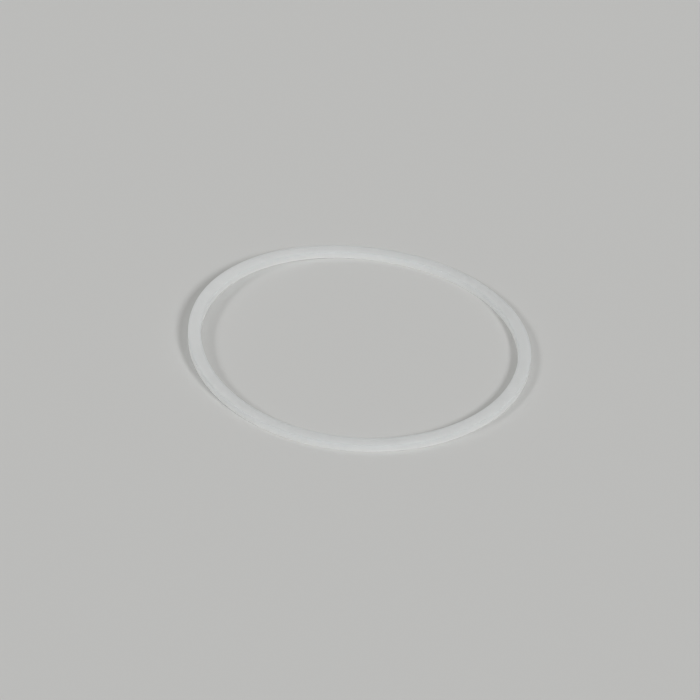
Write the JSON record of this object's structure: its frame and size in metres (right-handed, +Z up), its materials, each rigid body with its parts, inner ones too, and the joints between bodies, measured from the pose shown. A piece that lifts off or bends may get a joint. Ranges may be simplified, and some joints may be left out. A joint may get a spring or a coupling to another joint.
{
  "type": "backup ring",
  "caption": "Thin plain white backup ring of rectangular section, uncut and lying slightly bowed; it backs a seal ring in its groove.",
  "frame": {"origin": "on the ring's axis, at the height of the surface that it rests on", "axes": "+Z up along the ring's axis; X runs across the bow, with the higher side at -X and the lower raised side at +X; Y runs along the line where the ring touches the surface"},
  "size_m": [0.059, 0.059, 0.0026],
  "materials": {
    "white_seal_plastic": "waxy satin, as turned, slightly translucent"
  },
  "bodies": {
    "root": {"backup_ring": "white_seal_plastic"}
  },
  "joints": []
}
